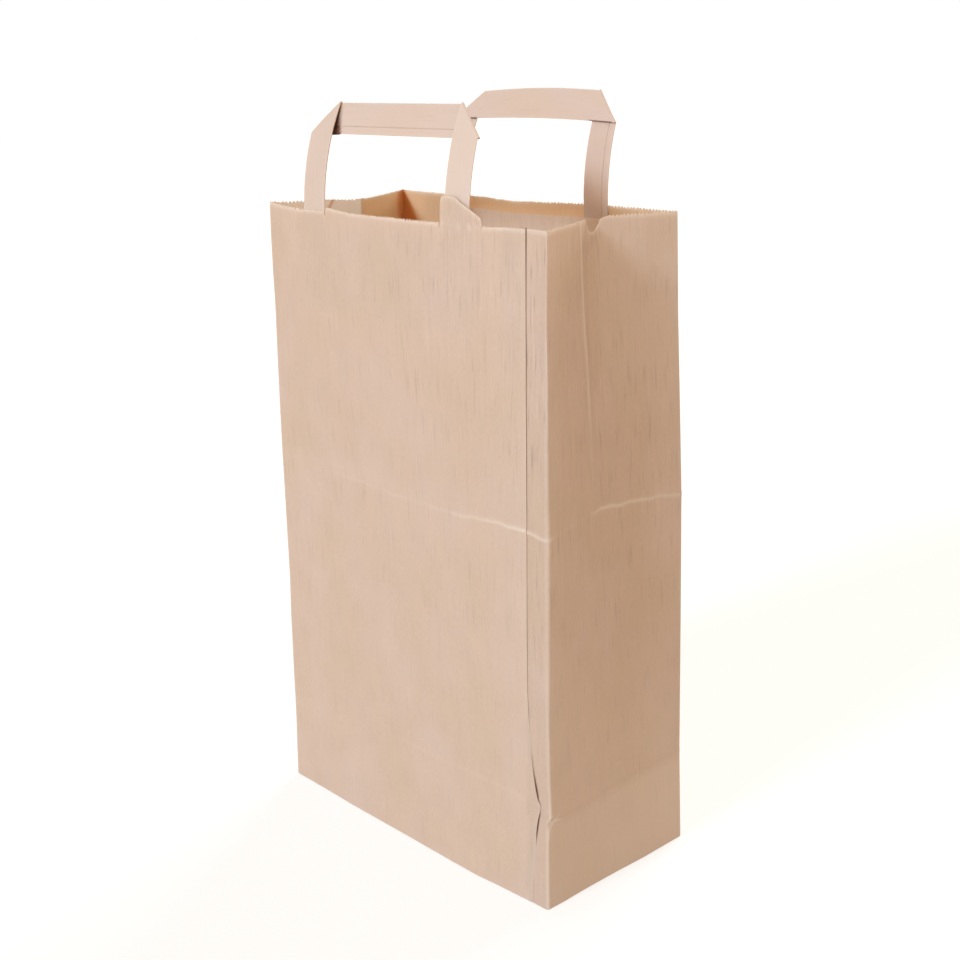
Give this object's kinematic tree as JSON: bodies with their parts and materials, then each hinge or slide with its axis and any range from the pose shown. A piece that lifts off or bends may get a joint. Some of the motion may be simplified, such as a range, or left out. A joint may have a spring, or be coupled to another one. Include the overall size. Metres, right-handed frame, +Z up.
{
  "type": "paper carrier bag",
  "caption": "Kraft paper carrier bag with a block bottom, V-folded side gussets and flat folded-strip handles glued inside the rim under paper patches, standing open and empty.",
  "frame": {"origin": "middle of the base, on the surface that the bag stands on", "axes": "+Z up, X along the wide panels to the right seen from the front, the front panel with the glued seam faces -Y"},
  "size_m": [0.2268, 0.128, 0.4174],
  "materials": {
    "kraft_paper": "uncoated ribbed kraft",
    "handle_paper": "uncoated smooth kraft",
    "patch_paper": "uncoated kraft"
  },
  "bodies": {
    "root": {"bag_body": "kraft_paper", "front_handle": "handle_paper", "back_handle": "handle_paper", "front_patch": "patch_paper", "back_patch": "patch_paper"}
  },
  "joints": []
}
